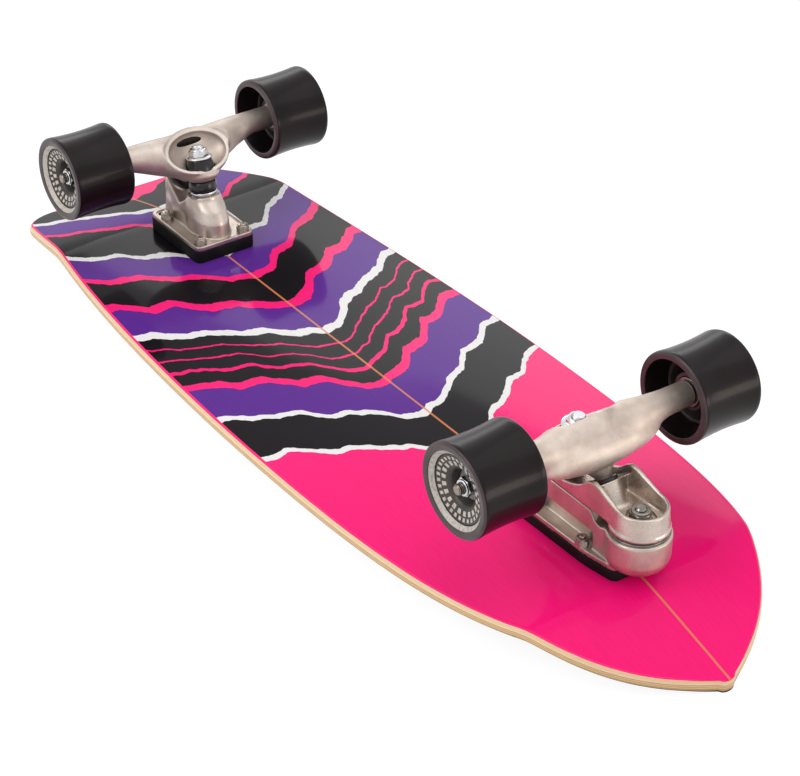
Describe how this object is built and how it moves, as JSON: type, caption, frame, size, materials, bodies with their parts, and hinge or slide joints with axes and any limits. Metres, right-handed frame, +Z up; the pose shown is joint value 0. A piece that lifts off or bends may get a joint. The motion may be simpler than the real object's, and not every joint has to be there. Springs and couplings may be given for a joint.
{
  "type": "surf skateboard",
  "caption": "Carving skateboard stood upside down: kicked plywood deck, rear tilt truck, front truck on a sprung swinging arm, and free-rolling urethane wheels.",
  "frame": {"origin": "on the floor under the middle of the deck, which stands upside down on the tip of its nose and the end of its tail", "axes": "+X towards the nose, +Y towards the side of the rider's right foot, +Z up, away from the gripped side of the deck"},
  "size_m": [0.811, 0.2686, 0.159],
  "materials": {
    "deck_wood": "plywood under glossy pink lacquer",
    "grip": "abrasive tape",
    "riser_rubber": "moulded, matte",
    "bolt_steel": "zinc plated",
    "cast_aluminium": "cast and tumbled, machined rims",
    "zinc_steel": "bright zinc plated",
    "axle_steel": "oiled",
    "bearing_steel": "polished",
    "bushing_rubber": "semi-gloss urethane",
    "wheel_urethane": "glossy smoke-black urethane",
    "wheel_core": "moulded, satin"
  },
  "bodies": {
    "deck": {"deck": "deck_wood", "grip_tape": "grip", "rear_riser_pad": "riser_rubber", "front_riser_pad": "riser_rubber", "mounting_bolt_rear_tail_left": "bolt_steel", "mounting_bolt_rear_tail_right": "bolt_steel", "mounting_bolt_rear_nose_left": "bolt_steel", "mounting_bolt_rear_nose_right": "bolt_steel", "mounting_bolt_front_tail_left": "bolt_steel", "mounting_bolt_front_tail_right": "bolt_steel", "mounting_bolt_front_nose_left": "bolt_steel", "mounting_bolt_front_nose_right": "bolt_steel", "rear_baseplate": "cast_aluminium", "front_base": "cast_aluminium", "arm_pivot_bolt": "zinc_steel", "arm_pivot_nut": "zinc_steel", "thrust_washer": "bearing_steel", "return_spring": "bearing_steel", "spring_cup": "bushing_rubber", "spring_adjuster": "zinc_steel", "rear_kingpin": "zinc_steel", "rear_cup_washer_deckside": "zinc_steel", "rear_bushing_deckside": "bushing_rubber", "rear_bushing_roadside": "bushing_rubber", "rear_washer_roadside": "zinc_steel", "rear_kingpin_nut": "zinc_steel", "rear_pivot_cup": "bushing_rubber"},
    "swing_arm": {"swing_arm": "cast_aluminium", "thrust_bearing": "bearing_steel", "front_kingpin": "zinc_steel", "front_cup_washer_deckside": "zinc_steel", "front_bushing_deckside": "bushing_rubber", "front_bushing_roadside": "bushing_rubber", "front_washer_roadside": "zinc_steel", "front_kingpin_nut": "zinc_steel", "front_pivot_cup": "bushing_rubber"},
    "front_hanger": {"front_hanger": "cast_aluminium", "front_axle": "axle_steel", "front_left_axle_nut": "bearing_steel", "front_right_axle_nut": "bearing_steel"},
    "rear_hanger": {"rear_hanger": "cast_aluminium", "rear_axle": "axle_steel", "rear_left_axle_nut": "bearing_steel", "rear_right_axle_nut": "bearing_steel"},
    "front_left_wheel": {"front_left_tyre": "wheel_urethane", "front_left_core": "wheel_core", "front_left_bearing_inner": "bearing_steel", "front_left_bearing_outer": "bearing_steel"},
    "front_right_wheel": {"front_right_tyre": "wheel_urethane", "front_right_core": "wheel_core", "front_right_bearing_inner": "bearing_steel", "front_right_bearing_outer": "bearing_steel"},
    "rear_left_wheel": {"rear_left_tyre": "wheel_urethane", "rear_left_core": "wheel_core", "rear_left_bearing_inner": "bearing_steel", "rear_left_bearing_outer": "bearing_steel"},
    "rear_right_wheel": {"rear_right_tyre": "wheel_urethane", "rear_right_core": "wheel_core", "rear_right_bearing_inner": "bearing_steel", "rear_right_bearing_outer": "bearing_steel"}
  },
  "joints": [
    {"name": "arm_swing", "type": "hinge", "parent": "deck", "child": "swing_arm", "pos_m": [0.3075, 0, 0.085], "axis": [0, 0, 1], "range_deg": [-25, 25], "stiffness_Nm_per_rad": 4, "deforming": ["return_spring", "spring_cup"]},
    {"name": "front_hanger_tilt", "type": "hinge", "parent": "swing_arm", "child": "front_hanger", "pos_m": [0.271, 0, 0.089], "axis": [-0.9331, 0, 0.3596], "range_deg": [-12, 12], "stiffness_Nm_per_rad": 25, "deforming": ["front_bushing_deckside", "front_bushing_roadside"]},
    {"name": "rear_hanger_tilt", "type": "hinge", "parent": "deck", "child": "rear_hanger", "pos_m": [-0.286, 0, 0.083], "axis": [0.9331, 0, 0.3596], "range_deg": [-12, 12], "stiffness_Nm_per_rad": 25, "deforming": ["rear_bushing_deckside", "rear_bushing_roadside"]},
    {"name": "front_left_wheel_spin", "type": "hinge", "parent": "front_hanger", "child": "front_left_wheel", "pos_m": [0.2575, -0.0946, 0.1245], "axis": [0, 1, 0], "continuous": true},
    {"name": "front_right_wheel_spin", "type": "hinge", "parent": "front_hanger", "child": "front_right_wheel", "pos_m": [0.2575, 0.0946, 0.1245], "axis": [0, 1, 0], "continuous": true},
    {"name": "rear_left_wheel_spin", "type": "hinge", "parent": "rear_hanger", "child": "rear_left_wheel", "pos_m": [-0.2725, -0.0946, 0.1185], "axis": [0, 1, 0], "continuous": true},
    {"name": "rear_right_wheel_spin", "type": "hinge", "parent": "rear_hanger", "child": "rear_right_wheel", "pos_m": [-0.2725, 0.0946, 0.1185], "axis": [0, 1, 0], "continuous": true}
  ]
}
